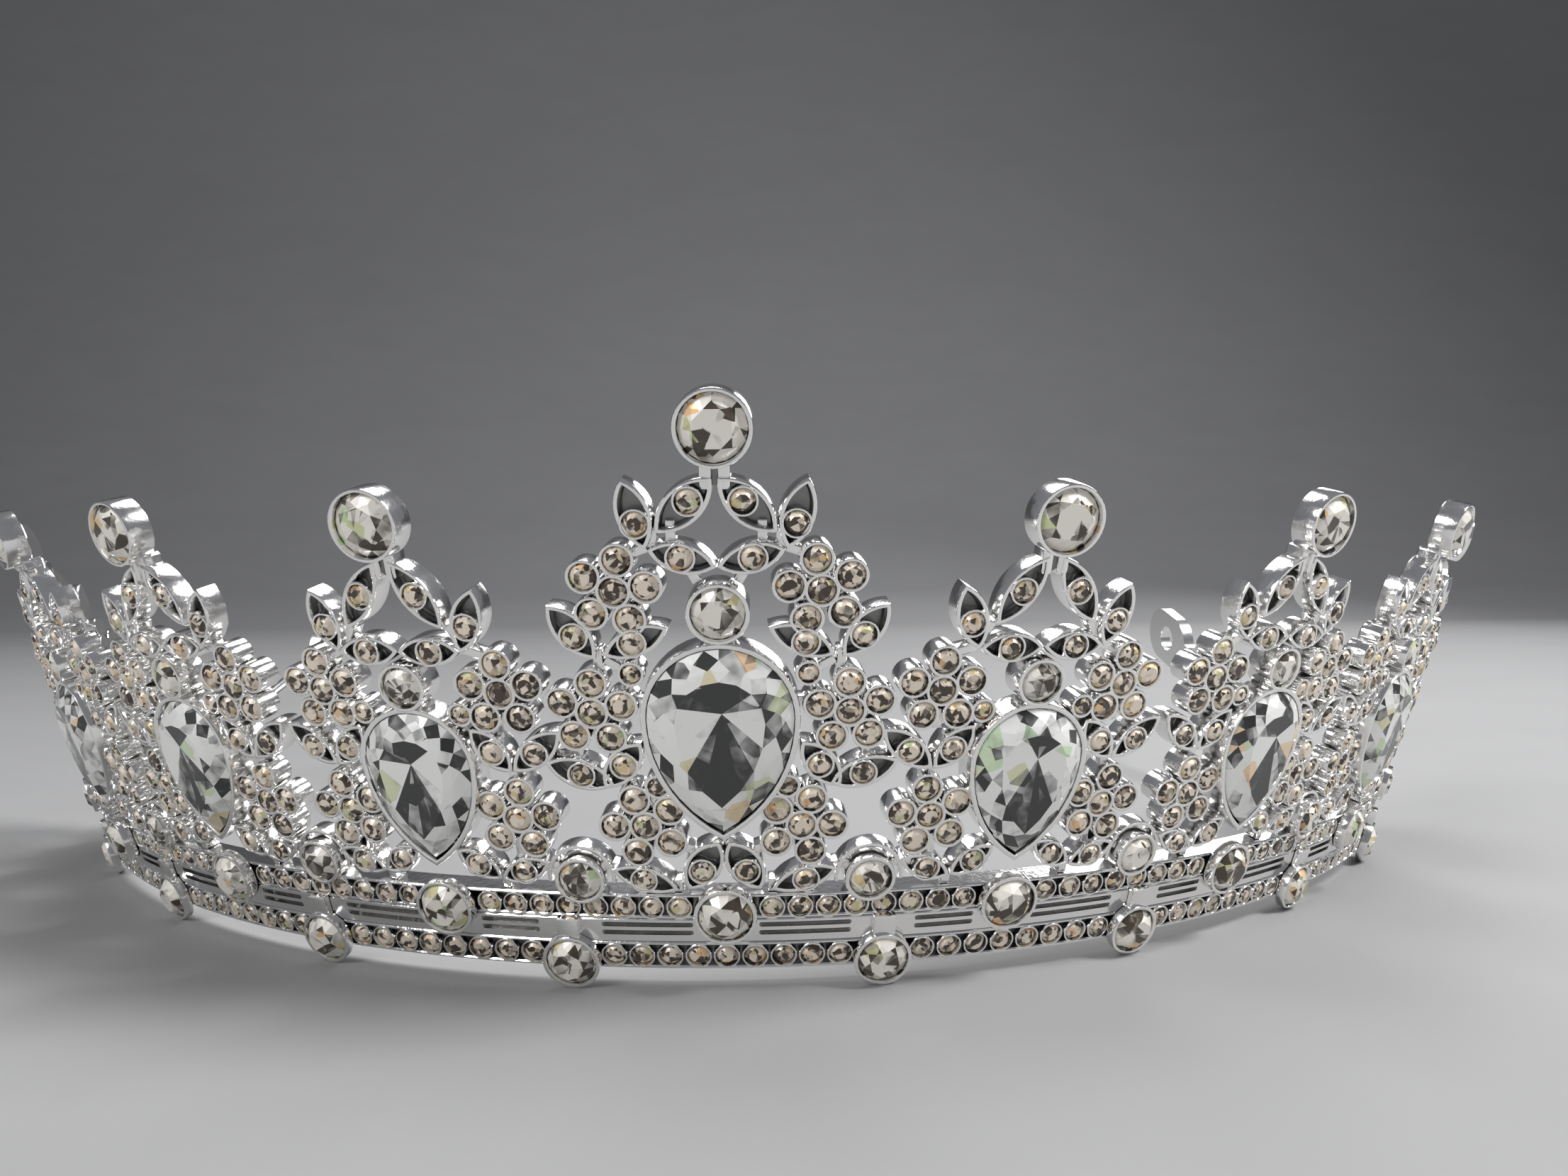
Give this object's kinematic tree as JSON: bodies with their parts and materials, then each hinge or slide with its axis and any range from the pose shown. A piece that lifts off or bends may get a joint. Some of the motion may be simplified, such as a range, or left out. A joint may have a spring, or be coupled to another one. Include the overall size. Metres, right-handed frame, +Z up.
{
  "type": "bridal tiara",
  "caption": "Flared half-crown bridal tiara: cast silver band and peaks set with clear pear and round stones, with pierced end tabs on bare rods.",
  "frame": {"origin": "under the middle of the whole piece, on the surface it stands on", "axes": "+Z up, -Y towards the middle peak (the front), +X towards the wearer's left end of the band"},
  "size_m": [0.1664, 0.1118, 0.0441],
  "materials": {
    "silver_plate": "bright silver plate over cast alloy, dark in the recesses",
    "pear_glass": "clear faceted glass with a mirror-foiled back",
    "crest_glass": "clear faceted glass with a mirror-foiled back",
    "small_glass": "pale champagne faceted glass with a foiled back"
  },
  "bodies": {
    "root": {"band_rail": "silver_plate", "lower_gallery": "silver_plate", "upper_gallery": "silver_plate", "drop_cups": "silver_plate", "base_cups": "silver_plate", "bridge_cups": "silver_plate", "peak_centre": "silver_plate", "peak_left_1": "silver_plate", "peak_left_2": "silver_plate", "peak_left_3": "silver_plate", "peak_left_4": "silver_plate", "peak_right_1": "silver_plate", "peak_right_2": "silver_plate", "peak_right_3": "silver_plate", "peak_right_4": "silver_plate", "end_rod_left": "silver_plate", "end_rod_right": "silver_plate", "end_tab_left": "silver_plate", "end_tab_right": "silver_plate", "pear_stone_centre": "pear_glass", "pear_stone_left_1": "pear_glass", "pear_stone_left_2": "pear_glass", "pear_stone_left_3": "pear_glass", "pear_stone_left_4": "pear_glass", "pear_stone_right_1": "pear_glass", "pear_stone_right_2": "pear_glass", "pear_stone_right_3": "pear_glass", "pear_stone_right_4": "pear_glass", "crest_stone_centre": "crest_glass", "crest_stone_left_1": "crest_glass", "crest_stone_left_2": "crest_glass", "crest_stone_left_3": "crest_glass", "crest_stone_left_4": "crest_glass", "crest_stone_right_1": "crest_glass", "crest_stone_right_2": "crest_glass", "crest_stone_right_3": "crest_glass", "crest_stone_right_4": "crest_glass", "collet_stone_centre": "crest_glass", "collet_stone_left_1": "crest_glass", "collet_stone_left_2": "crest_glass", "collet_stone_left_3": "crest_glass", "collet_stone_left_4": "crest_glass", "collet_stone_right_1": "crest_glass", "collet_stone_right_2": "crest_glass", "collet_stone_right_3": "crest_glass", "collet_stone_right_4": "crest_glass", "drop_stones": "crest_glass", "base_stones": "crest_glass", "bridge_stones": "crest_glass", "lower_row_stones": "small_glass", "upper_row_stones": "small_glass", "flower_stones_centre": "small_glass", "flower_stones_left": "small_glass", "flower_stones_right": "small_glass", "leaf_stones_centre": "small_glass", "leaf_stones_left": "small_glass", "leaf_stones_right": "small_glass"}
  },
  "joints": []
}
